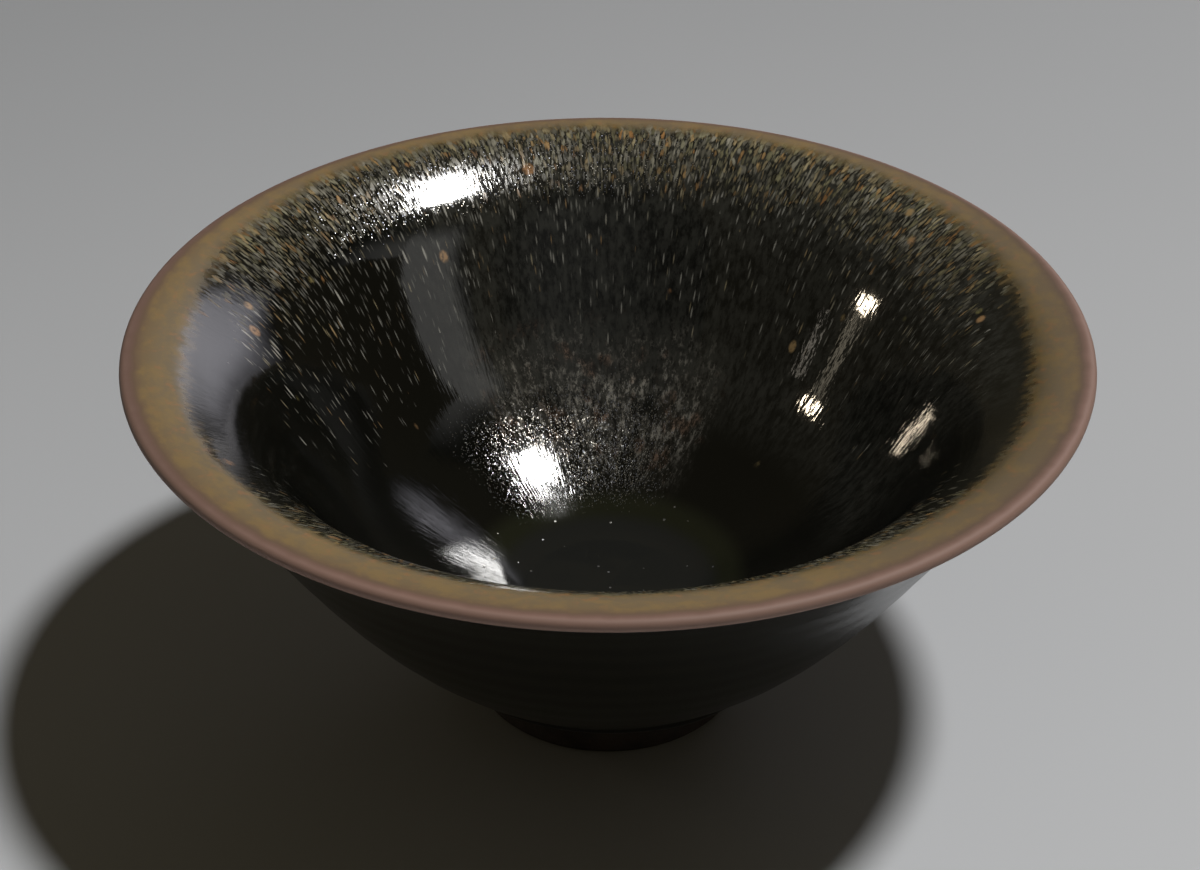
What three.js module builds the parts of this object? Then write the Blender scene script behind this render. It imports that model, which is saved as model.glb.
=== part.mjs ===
// A tenmoku tea bowl: a stoneware body, thrown and turned, under a coat of dark iron glaze.
// Lengths are in millimetres, angles in degrees, +Z is up, and the origin is on the bowl's
// axis, in the plane that the foot ring rests on. Outlines are (radius, height) pairs, and
// they run the way that a lathe profile must: up the outside, down the inside.

import * as THREE from 'three';

// Overall sizes, over the fired glaze
const rimDiameter = 125;
const bowlHeight = 54.5;

// The lip's round edge, and the flange that leans in from it to the shoulder
const lipRadius = 0.85;
const flangeSlope = 5;
const shoulderReach = 9.85;
const shoulderDrop = 2.95;
const shoulderSlope = 33.4;
const flangeHandleShares = [0.41, 0.5];

// The inner wall: it turns steep under the shoulder, and then runs out into a wide, shallow
// bowl over a thick base
const steepReach = 9;
const steepDrop = 8.55;
const steepSlope = 54.9;
const upperWallHandleShares = [0.26, 0.6];
const innerWallFootSlope = 26.3;
const innerWallHandleShares = [0.43, 0.57];

// The well at its foot, where the glaze pools
const wellDiameter = 30.2;
const wellRimHeight = 16.4;
const wellStepDrop = 1.2;
const wellStepReach = 2.5;
const poolEdgeReach = 2.5;
const poolDip = 0.2;

// The outer wall, from the line where the glaze stops, up to the lip
const glazeLineDiameter = 51;
const glazeLineHeight = 10.2;
const outerWallFootSlope = 37;
const outerWallLipSlope = 34;
const outerWallHandleShares = [0.42, 0.25];

// The foot ring, turned out of the body's own clay
const footDiameter = 36.6;
const footHeight = 5.8;
const footTaper = 0.4;
const footRingWidth = 4.4;
const footBevel = 0.55;
const footFillet = 0.9;
const recessDepth = 3;
const recessDome = 0.4;
const recessFillet = 1;

// The glaze: thin where it drew back from the lip, thick where it ran down and pooled
const poolGlazeDepth = 1.4;
const lowGlazeDepth = 1;
const shoulderGlazeDepth = 0.6;
const lipGlazeDepth = 0.32;
const bondGap = 0.05;

// The brown band, where the glaze is thin: over the flange, and a little down the outside
const bandOnFlange = 6.9;
const bandBelowLip = 2.6;

// The roll where the glaze stopped above the foot, with the places where it ran lower
const rollLength = 2.1;
const rollSwell = 0.5;
const rollWander = 0.35;
const tearLength = 1.2;
const tearSwell = 0.3;
const tearWidth = 15;
const tearAngles = [28, 163, 297];
const rollWaves = [{ around: 2, share: 0.6 }, { around: 5, share: 0.4 }];
const noseShare = 0.4;

// How finely the curves are cut into facets
const stepsAround = 56;
const outerWallSteps = 9;
const lipSteps = 5;
const flangeSteps = 3;
const shoulderSteps = 2;
const upperWallSteps = 4;
const innerWallSteps = 7;
const wellSteps = 3;
const filletSteps = 3;
const rollSteps = 6;

const fired = (name, color, roughness) =>
  new THREE.MeshStandardMaterial({ name, color, roughness, metalness: 0 });

const clay = fired('bare stoneware', 0x38271f, 0.88);
const blackGlaze = fired('black glaze', 0x0f0e0c, 0.12);
const brownGlaze = fired('brown glaze', 0x735a3c, 0.38);

// Small helpers for outlines

const point = (radius, height) => new THREE.Vector2(radius, height);

const heading = (degrees) => {
  const angle = THREE.MathUtils.degToRad(degrees);
  return point(Math.cos(angle), Math.sin(angle));
};

const towards = (from, to) => to.clone().sub(from).normalize();

// A curve that leaves one point and reaches another along stated headings. Each handle is a
// share of the straight distance between the two points.
function sweep(from, leaving, to, arriving, handleShares) {
  const span = from.distanceTo(to);
  const first = from.clone().addScaledVector(heading(leaving), span * handleShares[0]);
  const second = to.clone().addScaledVector(heading(arriving), -span * handleShares[1]);
  return new THREE.CubicBezierCurve(from, first, second, to);
}

// Points spaced evenly along a stretch of a curve, without the first one.
function along(curve, start, end, steps) {
  const places = Array.from({ length: steps }, (_, i) => start + (end - start) * (i + 1) / steps);
  return places.map((place) => curve.getPointAt(place));
}

// A corner rounded off with a curve that starts and ends at an equal reach from it. With one
// step it is a bevel.
function softened(before, corner, after, reach, steps) {
  const from = corner.clone().addScaledVector(towards(corner, before), reach);
  const to = corner.clone().addScaledVector(towards(corner, after), reach);
  return new THREE.QuadraticBezierCurve(from, corner, to).getPoints(steps);
}

// An outline sunk to its left, into the clay, by its own depth at each point, with mitred
// corners. A point on the axis stays on it.
function sunk(outline, depths) {
  const last = outline.length - 1;
  return outline.map((here, i) => {
    const before = towards(outline[Math.max(i - 1, 0)], outline[Math.max(i, 1)]);
    const after = towards(outline[Math.min(i, last - 1)], outline[Math.min(i + 1, last)]);
    const middle = before.clone().add(after).normalize();
    const mitre = depths[i] / middle.dot(after);
    const inward = point(-middle.y, middle.x).multiplyScalar(mitre);
    const moved = here.clone().add(inward);
    return here.x === 0 ? point(0, moved.y) : moved;
  });
}

// A turned solid. An outline that doesn't start and end on the axis is closed on itself.
function turned(outline) {
  const onAxis = outline[0].x === 0 && outline[outline.length - 1].x === 0;
  const profile = onAxis ? outline : [...outline, outline[0]];
  return new THREE.LatheGeometry(profile, stepsAround).rotateX(Math.PI / 2);
}

// The finished surface of the glaze, from the glaze line up the outside, over the lip and
// down into the well, with a depth of glaze for each of its points

const rimRadius = rimDiameter / 2;
const lipCentre = point(rimRadius - lipRadius, bowlHeight - lipRadius);
const lipArc = new THREE.EllipseCurve(
  lipCentre.x,
  lipCentre.y,
  lipRadius,
  lipRadius,
  THREE.MathUtils.degToRad(outerWallLipSlope - 90),
  THREE.MathUtils.degToRad(flangeSlope + 90),
);
const underLip = lipArc.getPoint(0);
const topOfLip = lipArc.getPoint(1);
const shoulder = point(rimRadius - shoulderReach, bowlHeight - shoulderDrop);
const steepPoint = point(shoulder.x - steepReach, shoulder.y - steepDrop);
const wellRim = point(wellDiameter / 2, wellRimHeight);
const wellStep = point(wellRim.x - wellStepReach, wellRim.y - wellStepDrop);
const poolEdge = point(wellStep.x - poolEdgeReach, wellStep.y);
const poolCentre = point(0, poolEdge.y - poolDip);
const glazeLine = point(glazeLineDiameter / 2, glazeLineHeight);

const outerWall = sweep(glazeLine, outerWallFootSlope, underLip, outerWallLipSlope, outerWallHandleShares);
const flange = sweep(topOfLip, flangeSlope + 180, shoulder, shoulderSlope + 180, flangeHandleShares);
const upperWall = sweep(
  shoulder,
  shoulderSlope + 180,
  steepPoint,
  steepSlope + 180,
  upperWallHandleShares,
);
const innerWall = sweep(
  steepPoint,
  steepSlope + 180,
  wellRim,
  innerWallFootSlope + 180,
  innerWallHandleShares,
);
const wellCurve = new THREE.QuadraticBezierCurve(wellRim, wellStep, poolEdge);

const outerSeam = 1 - bandBelowLip / outerWall.getLength();
const innerSeam = bandOnFlange / flange.getLength();

const mix = THREE.MathUtils.lerp;
const outerDepth = (place) => mix(lowGlazeDepth, lipGlazeDepth, place);
const flangeDepth = (place) => mix(lipGlazeDepth, shoulderGlazeDepth, place);
const upperDepth = () => shoulderGlazeDepth;
const innerDepth = (place) => mix(shoulderGlazeDepth, lowGlazeDepth, place);
const wellDepth = (place) => mix(lowGlazeDepth, poolGlazeDepth, place);

const coat = { outline: [glazeLine], depths: [outerDepth(0)] };

// Adds a stretch of surface to the coat, and says which of the coat's points it ends at.
function laid(curve, start, end, steps, depthAt) {
  coat.outline.push(...along(curve, start, end, steps));
  for (let i = 1; i <= steps; i += 1) {
    coat.depths.push(depthAt(start + (end - start) * i / steps));
  }
  return coat.outline.length - 1;
}

const outerEnd = laid(outerWall, 0, outerSeam, outerWallSteps, outerDepth);
laid(outerWall, outerSeam, 1, 1, outerDepth);
laid(lipArc, 0, 1, lipSteps, () => lipGlazeDepth);
const lipEnd = laid(flange, 0, innerSeam, flangeSteps, flangeDepth);
laid(flange, innerSeam, 1, shoulderSteps, flangeDepth);
laid(upperWall, 0, 1, upperWallSteps, upperDepth);
const innerEnd = laid(innerWall, 0, 1, innerWallSteps, innerDepth);
laid(wellCurve, 0, 1, wellSteps, wellDepth);
const poolEnd = laid(new THREE.LineCurve(poolEdge, poolCentre), 0, 1, 1, () => poolGlazeDepth);

const underside = sunk(coat.outline, coat.depths);
const clayFace = sunk(coat.outline, coat.depths.map((depth) => depth + bondGap));

// One stretch of the coat as a closed outline: its surface, then its underside back again.
// The stretch that ends on the axis starts there too, with its underside.
function coatStretch(first, last) {
  const surface = coat.outline.slice(first, last + 1);
  const back = underside.slice(first, last + 1).reverse();
  return last === poolEnd ? [...back, ...surface] : [...surface, ...back];
}

// The stoneware body: recess, foot ring, bare clay up to the glaze line, and then the face
// that the glaze lies on

const footTop = point(footDiameter / 2, footHeight);
const footEdge = point(footTop.x - footTaper, 0);
const ringEdge = point(footEdge.x - footRingWidth, 0);
const recessCorner = point(ringEdge.x, recessDepth);
const recessCentre = point(0, recessDepth + recessDome);

function stonewareBody() {
  return turned([
    recessCentre,
    ...softened(recessCentre, recessCorner, ringEdge, recessFillet, filletSteps),
    ...softened(recessCorner, ringEdge, footEdge, footBevel, 1),
    ...softened(ringEdge, footEdge, footTop, footBevel, 1),
    ...softened(footEdge, footTop, clayFace[0], footFillet, filletSteps),
    ...clayFace,
  ]);
}

// The roll of glaze that stopped short of the foot. Its section changes on the way round: it
// wanders up and down a little, and at a tear it is longer and fatter. All of it lies on the
// straight stretch of bare clay between the glaze line and the foot.

const turnBetween = (a, b) => Math.abs(THREE.MathUtils.euclideanModulo(a - b + 180, 360) - 180);

function tearAt(degrees) {
  const pulls = tearAngles.map((angle) => Math.exp(-((turnBetween(degrees, angle) / tearWidth) ** 2)));
  return Math.max(...pulls);
}

function wanderAt(degrees) {
  const angle = THREE.MathUtils.degToRad(degrees);
  return rollWaves.reduce((sum, wave) => sum + wave.share * Math.cos(wave.around * angle), 0);
}

function rollSection(degrees) {
  const down = towards(clayFace[0], footTop);
  const out = point(-down.y, down.x);
  const length = rollLength + rollWander * wanderAt(degrees) + tearLength * tearAt(degrees);
  const swell = rollSwell + tearSwell * tearAt(degrees);
  const crest = lowGlazeDepth + swell;
  const section = [];
  for (let i = 0; i < rollSteps; i += 1) {
    const place = i / rollSteps;
    const nose = Math.sqrt(1 - (1 - Math.min(place / noseShare, 1)) ** 2);
    const fall = Math.max(place - noseShare, 0) / (1 - noseShare);
    const height = nose * mix(crest, lowGlazeDepth, THREE.MathUtils.smoothstep(fall, 0, 1));
    const onClay = clayFace[0].clone().addScaledVector(down, length * (1 - place));
    section.push(onClay.addScaledVector(out, bondGap + height));
  }
  return [...section, coat.outline[0], underside[0]];
}

// A closed ring lofted through sections that all have the same number of points. It goes
// round the axis the same way as the turned solids, and its corners lie on the same angles.
function lofted(sectionAt) {
  const sections = Array.from({ length: stepsAround }, (_, i) => sectionAt(360 * i / stepsAround));
  const count = sections[0].length;
  const positions = [];
  const faces = [];
  sections.forEach((section, i) => {
    const angle = 2 * Math.PI * i / stepsAround;
    const next = (i + 1) % stepsAround;
    section.forEach((corner, j) => {
      const above = (j + 1) % count;
      positions.push(corner.x * Math.sin(angle), -corner.x * Math.cos(angle), corner.y);
      faces.push(i * count + j, next * count + j, i * count + above);
      faces.push(next * count + above, i * count + above, next * count + j);
    });
  });
  const geometry = new THREE.BufferGeometry();
  geometry.setAttribute('position', new THREE.Float32BufferAttribute(positions, 3));
  geometry.setIndex(faces);
  geometry.computeVertexNormals();
  return geometry;
}

// The bowl, with the clay and each stretch of glaze as a piece of its own

const bowl = new THREE.Group();
bowl.name = 'tea_bowl';

function add(name, geometry, material) {
  const mesh = new THREE.Mesh(geometry, material);
  mesh.name = name;
  bowl.add(mesh);
}

add('stoneware_body', stonewareBody(), clay);
add('outer_glaze', turned(coatStretch(0, outerEnd)), blackGlaze);
add('lip_glaze', turned(coatStretch(outerEnd, lipEnd)), brownGlaze);
add('inner_glaze', turned(coatStretch(lipEnd, innerEnd)), blackGlaze);
add('well_pool', turned(coatStretch(innerEnd, poolEnd)), blackGlaze);
add('glaze_roll', lofted(rollSection), blackGlaze);

export default bowl;
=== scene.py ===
# %% [markdown]
# # A tenmoku tea bowl
#
# This lesson dresses a thrown tea bowl: dark stoneware under a coat of iron glaze. The sizes
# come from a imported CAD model, and everything here is built around it, in metres, +Z up.
# A thrown pot is a solid of revolution, so one outline makes each of its two pieces: the clay,
# with its turned foot, and the glaze that lies over it. The work then goes into the glaze,
# because that is all the eye sees: a brown lip, a bead zone, streaks, and crystals in black.

import math

import bpy
import numpy as np
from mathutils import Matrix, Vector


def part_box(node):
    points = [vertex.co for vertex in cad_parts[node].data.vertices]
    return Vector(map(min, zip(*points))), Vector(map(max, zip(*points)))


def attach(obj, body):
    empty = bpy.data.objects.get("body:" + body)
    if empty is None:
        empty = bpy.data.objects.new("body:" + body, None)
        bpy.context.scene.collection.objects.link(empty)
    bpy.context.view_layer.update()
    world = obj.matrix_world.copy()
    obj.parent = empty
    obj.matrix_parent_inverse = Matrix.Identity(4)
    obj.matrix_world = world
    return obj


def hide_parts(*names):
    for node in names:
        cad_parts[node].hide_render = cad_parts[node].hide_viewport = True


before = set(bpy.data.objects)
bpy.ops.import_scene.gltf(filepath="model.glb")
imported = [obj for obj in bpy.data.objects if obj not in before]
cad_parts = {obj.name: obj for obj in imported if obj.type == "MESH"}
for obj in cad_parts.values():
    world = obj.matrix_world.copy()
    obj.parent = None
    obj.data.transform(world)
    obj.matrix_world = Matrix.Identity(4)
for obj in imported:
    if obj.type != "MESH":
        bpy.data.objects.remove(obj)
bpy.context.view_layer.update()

# %% [markdown]
# ## The outline
#
# The outline is a list of (radius, height) points. It could be traced point by point, but then
# nothing would be smooth. A few cubic curves do it instead. Each leaves one point and reaches
# the next along stated slopes, as a potter's rib does, and small circles make the edges.
# The rim's size is read from the frame, and the other sizes repeat the CAD model's.

# %% Sizes of the outline
MM = 0.001
lip_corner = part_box("lip_glaze")[1]
RIM_RADIUS = lip_corner.x
BOWL_HEIGHT = lip_corner.z
LIP_RADIUS = 0.85 * MM
FLANGE_SLOPE = 5
SHOULDER_STEP = np.array([9.85, 2.95]) * MM
SHOULDER_SLOPE = 33.4
FLANGE_SHARES = (0.41, 0.5)
STEEP_STEP = np.array([9.0, 8.55]) * MM
STEEP_SLOPE = 54.9
UPPER_SHARES = (0.26, 0.6)
INNER_FOOT_SLOPE = 26.3
INNER_SHARES = (0.43, 0.57)
WELL_RIM = np.array([15.1, 16.4]) * MM
WELL_STEP = np.array([2.5, 1.2]) * MM
POOL_EDGE_REACH = 2.5 * MM
POOL_DIP = 0.2 * MM
GLAZE_LINE = np.array([25.5, 10.2]) * MM
OUTER_FOOT_SLOPE = 37
OUTER_LIP_SLOPE = 34
OUTER_SHARES = (0.42, 0.25)
FOOT_TOP = np.array([18.3, 5.8]) * MM
FOOT_TAPER = 0.4 * MM
FOOT_RING_WIDTH = 4.4 * MM
FOOT_BEVEL = 0.55 * MM
FOOT_FILLET = 0.9 * MM
RECESS_DEPTH = 3.0 * MM
RECESS_DOME = 0.4 * MM
RECESS_FILLET = 1.0 * MM
LOW_GLAZE_DEPTH = 1.0 * MM
SHOULDER_GLAZE_DEPTH = 0.6 * MM
LIP_GLAZE_DEPTH = 0.32 * MM
POOL_GLAZE_DEPTH = 1.4 * MM
BOND_GAP = 0.05 * MM
print("rim radius", round(RIM_RADIUS / MM, 2), "mm, height", round(BOWL_HEIGHT / MM, 2), "mm")


# %% Curves of the outline
def heading(degrees):
    """The unit step (radius, height) along a slope in degrees."""
    angle = math.radians(degrees)
    return np.array([math.cos(angle), math.sin(angle)])


def sweep(start, leaving, end, arriving, shares, count=400):
    """A cubic curve as the sum of four points weighted by the Bernstein polynomials of t.
    The two inner points lie along the headings, at shares of the straight distance."""
    span = np.linalg.norm(end - start)
    corners = [
        start,
        start + heading(leaving) * span * shares[0],
        end - heading(arriving) * span * shares[1],
        end,
    ]
    t = np.linspace(0, 1, count)[:, None]
    weights = np.hstack([(1 - t) ** 3, 3 * t * (1 - t) ** 2, 3 * t * t * (1 - t), t ** 3])
    return weights @ np.array(corners)


def arc(centre, radius, start, end, count=60):
    """Points at one distance from a centre, for angles evenly spaced between two, in degrees."""
    angle = np.radians(np.linspace(start, end, count))
    return centre + radius * np.column_stack([np.cos(angle), np.sin(angle)])


def bend(start, corner, end, count=60):
    """A quadratic curve: (1 - t) squared, 2 t (1 - t) and t squared weigh its three points."""
    t = np.linspace(0, 1, count)[:, None]
    return (1 - t) ** 2 * start + 2 * t * (1 - t) * corner + t * t * end


def softened(before, corner, after, reach, count=9):
    """A corner rounded by a bend that starts and ends at one reach from it."""
    start = corner + (before - corner) * reach / np.linalg.norm(before - corner)
    end = corner + (after - corner) * reach / np.linalg.norm(after - corner)
    return bend(start, corner, end, count)


def length_along(outline):
    """The distance travelled along an outline, at each of its points."""
    steps = np.linalg.norm(np.diff(outline, axis=0), axis=1)
    return np.concatenate([[0.0], np.cumsum(steps)])


def at_length(outline, lengths):
    """The points of an outline at the given distances along it."""
    travelled = length_along(outline)
    return np.column_stack([np.interp(lengths, travelled, outline[:, k]) for k in (0, 1)])


def inward(outline):
    """The unit normal to the left of an outline, which is into the pot's wall."""
    along = np.gradient(outline, axis=0)
    along /= np.linalg.norm(along, axis=1, keepdims=True)
    return np.column_stack([-along[:, 1], along[:, 0]])


# %% [markdown]
# ## The glaze's surface
#
# On the real bowl the glaze is one skin: it starts as a roll above the foot, climbs the outer
# wall, thins over the lip, thickens down the inner wall and pools in the well. Five separate
# pieces would show seams in the reflections, so it is one closed shell here. Where two curves
# meet, their slopes agree but their bends don't, and gloss shows that as a crease. A short
# moving average along the outline takes the crease away.

# %% The outline of the glaze, from the glaze line up and over into the well
lip_centre = np.array([RIM_RADIUS - LIP_RADIUS, BOWL_HEIGHT - LIP_RADIUS])
shoulder = np.array([RIM_RADIUS, BOWL_HEIGHT]) - SHOULDER_STEP
steep_point = shoulder - STEEP_STEP
well_step = WELL_RIM - WELL_STEP
pool_edge = well_step - np.array([POOL_EDGE_REACH, 0])
pool_centre = np.array([0, pool_edge[1] - POOL_DIP])

lip = arc(lip_centre, LIP_RADIUS, OUTER_LIP_SLOPE - 90, FLANGE_SLOPE + 90)
outer_wall = sweep(GLAZE_LINE, OUTER_FOOT_SLOPE, lip[0], OUTER_LIP_SLOPE, OUTER_SHARES)
flange = sweep(lip[-1], FLANGE_SLOPE + 180, shoulder, SHOULDER_SLOPE + 180, FLANGE_SHARES)
upper_wall = sweep(shoulder, SHOULDER_SLOPE + 180, steep_point, STEEP_SLOPE + 180, UPPER_SHARES)
inner_wall = sweep(steep_point, STEEP_SLOPE + 180, WELL_RIM, INNER_FOOT_SLOPE + 180, INNER_SHARES)
well = bend(WELL_RIM, well_step, pool_edge)
across = np.linspace(0, 1, 200)[:, None]
pool = np.hstack([
    pool_edge[0] * (1 - across),
    pool_centre[1] + POOL_DIP * (1 - across) ** 2,
])
stretches = [outer_wall, lip, flange, upper_wall, inner_wall, well, pool]
outer_end, lip_end, shoulder_end, steep_end, well_rim_end, well_end, total = np.cumsum(
    [length_along(stretch)[-1] for stretch in stretches]
)
lip_top = (outer_end + lip_end) / 2
drawn = np.vstack([stretch[1:] if i else stretch for i, stretch in enumerate(stretches)])
print("glaze surface:", round(total / MM, 1), "mm long, the lip at", round(lip_top / MM, 1), "mm")

# %% A moving average that leaves the lip and both ends alone
AVERAGE_STEP = 0.05 * MM
AVERAGE_REACH = 1.0 * MM
LIP_REACH = 3.0 * MM
UNTOUCHED_SHARE = 0.2
places = np.arange(0, total, AVERAGE_STEP)
even = at_length(drawn, places)
window = np.hanning(2 * round(AVERAGE_REACH / AVERAGE_STEP) + 1)
window /= window.sum()
half = len(window) // 2
padded = np.vstack([even[:1]] * half + [even] + [even[-1:]] * half)
averaged = np.column_stack([np.convolve(padded[:, k], window, "valid") for k in (0, 1)])
clear_of_ends = np.minimum(places, total - places) / AVERAGE_REACH
clear_of_lip = np.abs(places - lip_top) / LIP_REACH
share = np.clip(np.minimum(clear_of_ends, clear_of_lip) - UNTOUCHED_SHARE, 0, 1)[:, None]
surface = np.vstack([even * (1 - share) + averaged * share, pool_centre])
print("the average moved the outline by up to",
      round(np.abs(surface[:-1] - even).max() / MM, 3), "mm")

# %% [markdown]
# ## Rows, and the depth of the glaze
#
# A grid row costs triangles, so rows go where the surface bends most: at the lip and at the
# well's edge. The crowding of rows is written as a curve, and its running sum says where each
# row falls. The glaze has a depth at each row. Sinking the surface by it gives the glaze's
# underside, and sinking it a hair more gives the face of the clay that it lies on.

# %% Rows of the grid
SURFACE_ROWS = 150
UNDERSIDE_ROWS = 30
CROWD_REACH = 1.5 * MM
CROWDING = 6
FINE_COUNT = 6000


def crowded(centres, count):
    """Places along the outline, crowded round some of them: the running sum of
    1 + crowding * exp(-(distance / reach) squared) is cut into equal shares."""
    fine = np.linspace(0, total, FINE_COUNT)
    weight = 1 + sum(CROWDING * np.exp(-(((fine - c) / CROWD_REACH) ** 2)) for c in centres)
    summed = np.concatenate([[0], np.cumsum(weight[1:])])
    return np.interp(np.linspace(0, summed[-1], count), summed, fine)


def glaze_depth(lengths):
    """The depth of the glaze, in straight lines between what it is at each curve's end."""
    knots = [0, outer_end, lip_end, shoulder_end, steep_end, well_rim_end, well_end, total]
    depths = [LOW_GLAZE_DEPTH, LIP_GLAZE_DEPTH, LIP_GLAZE_DEPTH, SHOULDER_GLAZE_DEPTH,
              SHOULDER_GLAZE_DEPTH, LOW_GLAZE_DEPTH, POOL_GLAZE_DEPTH, POOL_GLAZE_DEPTH]
    return np.interp(lengths, knots, depths)


def sunk(lengths, extra=0.0):
    """The surface moved along its inward normal by the glaze's depth and a little more. The
    last point stays on the axis."""
    normal = inward(surface)
    normal_at = np.column_stack([
        np.interp(lengths, length_along(surface), normal[:, k]) for k in (0, 1)
    ])
    moved = at_length(surface, lengths) + normal_at * (glaze_depth(lengths) + extra)[:, None]
    moved[-1, 0] = 0
    return moved


bends = [lip_top, (well_rim_end + well_end) / 2]
surface_places = crowded(bends, SURFACE_ROWS)
underside_places = crowded(bends[:1], UNDERSIDE_ROWS)
surface_rows = at_length(surface, surface_places)
underside_rows = sunk(underside_places)
clay_face = sunk(underside_places, BOND_GAP)
print(SURFACE_ROWS, "rows on the surface,", UNDERSIDE_ROWS, "under it")

# %% [markdown]
# ## The roll above the foot
#
# Iron glaze runs in the fire. It stops short of the foot in a thick roll that wanders up and
# down, and here and there a tear hangs lower. The roll's section is one formula, and its length
# and thickness change with the angle, so the rows near the foot are a grid of their own.

# %% The roll of glaze, as rows that change round the bowl
COAT_COLUMNS = 480
ROLL_ROWS = 16
ROLL_LENGTH = 2.1 * MM
ROLL_SWELL = 0.5 * MM
ROLL_WANDER = 0.35 * MM
ROLL_WAVES = ((2, 0.6), (5, 0.4))
TEAR_LENGTH = 1.2 * MM
TEAR_SWELL = 0.3 * MM
TEAR_WIDTH = 15
TEAR_ANGLES = (28, 163, 297)
NOSE_SHARE = 0.4
NOSE_CROWDING = 1.6


def smoothstep(x):
    """Three x squared less two x cubed, between 0 and 1."""
    x = np.clip(x, 0, 1)
    return x * x * (3 - 2 * x)


def roll_rows(columns):
    """Points of the roll, for each place from its nose (0) to the glaze line (1) and each angle:
    the clay's line, plus a height that rises as a quarter circle and falls as a smoothstep."""
    degrees = 360 * np.arange(columns) / columns
    turns = [np.abs((degrees - tear + 180) % 360 - 180) for tear in TEAR_ANGLES]
    tear = np.max([np.exp(-((turn / TEAR_WIDTH) ** 2)) for turn in turns], axis=0)
    wander = sum(part * np.cos(np.radians(around * degrees)) for around, part in ROLL_WAVES)
    length = ROLL_LENGTH + ROLL_WANDER * wander + TEAR_LENGTH * tear
    crest = LOW_GLAZE_DEPTH + ROLL_SWELL + TEAR_SWELL * tear

    place = np.linspace(0, 1, ROLL_ROWS, endpoint=False)[:, None] ** NOSE_CROWDING
    nose = np.sqrt(1 - (1 - np.minimum(place / NOSE_SHARE, 1)) ** 2)
    fall = smoothstep((place - NOSE_SHARE) / (1 - NOSE_SHARE))
    height = nose * (crest * (1 - fall) + LOW_GLAZE_DEPTH * fall)

    down = FOOT_TOP - clay_face[0]
    down /= np.linalg.norm(down)
    out = np.array([-down[1], down[0]])
    along = length * (1 - place)
    return clay_face[0] + along[..., None] * down + (BOND_GAP + height)[..., None] * out


roll = roll_rows(COAT_COLUMNS)
print("the roll reaches down to", round(roll[..., 1].min() / MM, 2), "mm above the table")

# %% [markdown]
# ## From outline to mesh
#
# A turned piece is a grid: row i of the outline, at angle j. The first and the last row are on
# the axis, so each shrinks to one point, a pole, and the solid is closed. A hand-thrown bowl
# isn't quite round or level, so one slow wave takes up to a tenth of a millimetre or so off its
# radius, and another off its height. Waves are only taken off, never added, to stay inside the
# CAD's box.

# %% Turning an outline
OUT_OF_ROUND = 0.0012
OUT_OF_LEVEL = 0.0022
LONG_AXIS_ANGLE = 40
HIGH_SIDE_ANGLE = 200


def turned(name, outline):
    """A closed solid from outline[row, column] = (radius, height): x = r sin(angle),
    y = -r cos(angle), with the slow waves taken off radius and height."""
    rows, columns, _ = outline.shape
    angle = 2 * np.pi * np.arange(columns) / columns
    oval = 1 - OUT_OF_ROUND * (1 - np.cos(2 * (angle - math.radians(LONG_AXIS_ANGLE)))) / 2
    tilt = 1 - OUT_OF_LEVEL * (1 - np.cos(angle - math.radians(HIGH_SIDE_ANGLE))) / 2
    radius = outline[..., 0] * oval
    grid = np.stack([radius * np.sin(angle), -radius * np.cos(angle), outline[..., 1] * tilt], -1)
    points = np.vstack([grid[0].mean(0), grid[1:-1].reshape(-1, 3), grid[-1].mean(0)])

    ring = 1 + np.arange((rows - 2) * columns).reshape(rows - 2, columns)
    beside = np.roll(ring, -1, axis=1)
    walls = np.stack([ring[:-1], beside[:-1], beside[1:], ring[1:]], -1).reshape(-1, 4)
    bottom = np.stack([np.zeros(columns, int), beside[0], ring[0]], -1)
    top = np.stack([ring[-1], beside[-1], np.full(columns, len(points) - 1)], -1)
    mesh = bpy.data.meshes.new(name)
    mesh.from_pydata(points, [], walls.tolist() + bottom.tolist() + top.tolist())
    mesh.shade_smooth()
    piece = bpy.data.objects.new(name, mesh)
    bpy.context.scene.collection.objects.link(piece)
    print(name, "has", len(points), "points and", 2 * len(walls) + 2 * columns, "triangles")
    return piece


def all_round(rows, columns):
    """The same row at every angle."""
    return np.repeat(rows[:, None, :], columns, axis=1)


def ridged(rows, places, columns, pitch, depth):
    """Rows cut along their inward normal by a spiral groove: half the depth, times one less
    the cosine of (2 pi * place / pitch + angle)."""
    angle = 2 * np.pi * np.arange(columns) / columns
    cut = depth[:, None] * (1 - np.cos(2 * np.pi * places[:, None] / pitch + angle)) / 2
    return rows[:, None, :] + inward(rows)[:, None, :] * cut[..., None]


# %% The coat of glaze
THROWING_PITCH = 5.2 * MM
THROWING_DEPTH = 0.045 * MM
INNER_THROWING_DEPTH = 0.008 * MM
OUTER_FADE = outer_end / 6
INNER_FADE = 5.0 * MM


def stretch_share(start, end, fade):
    """One along a stretch of the outline, with a smoothstep down to zero at both ends."""
    after_start, before_end = surface_places - start, end - surface_places
    return smoothstep(after_start / fade) * smoothstep(before_end / fade)


throwing_depth = THROWING_DEPTH * stretch_share(0, outer_end, OUTER_FADE)
throwing_depth += INNER_THROWING_DEPTH * stretch_share(shoulder_end, well_rim_end, INNER_FADE)
surface_grid = ridged(surface_rows, surface_places, COAT_COLUMNS, THROWING_PITCH, throwing_depth)
surface_grid[-1] = pool_centre
coat_outline = np.concatenate([all_round(underside_rows[::-1], COAT_COLUMNS), roll, surface_grid])
glaze_coat = turned("glaze_coat", coat_outline)

# %% [markdown]
# The glaze's colour follows how far it has run, so each point of the coat carries a number: the
# distance from the top of the lip, in millimetres, more than zero inside the bowl and less than
# zero outside. The material reads it by its name, and no image or unwrapping is needed.

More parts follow.
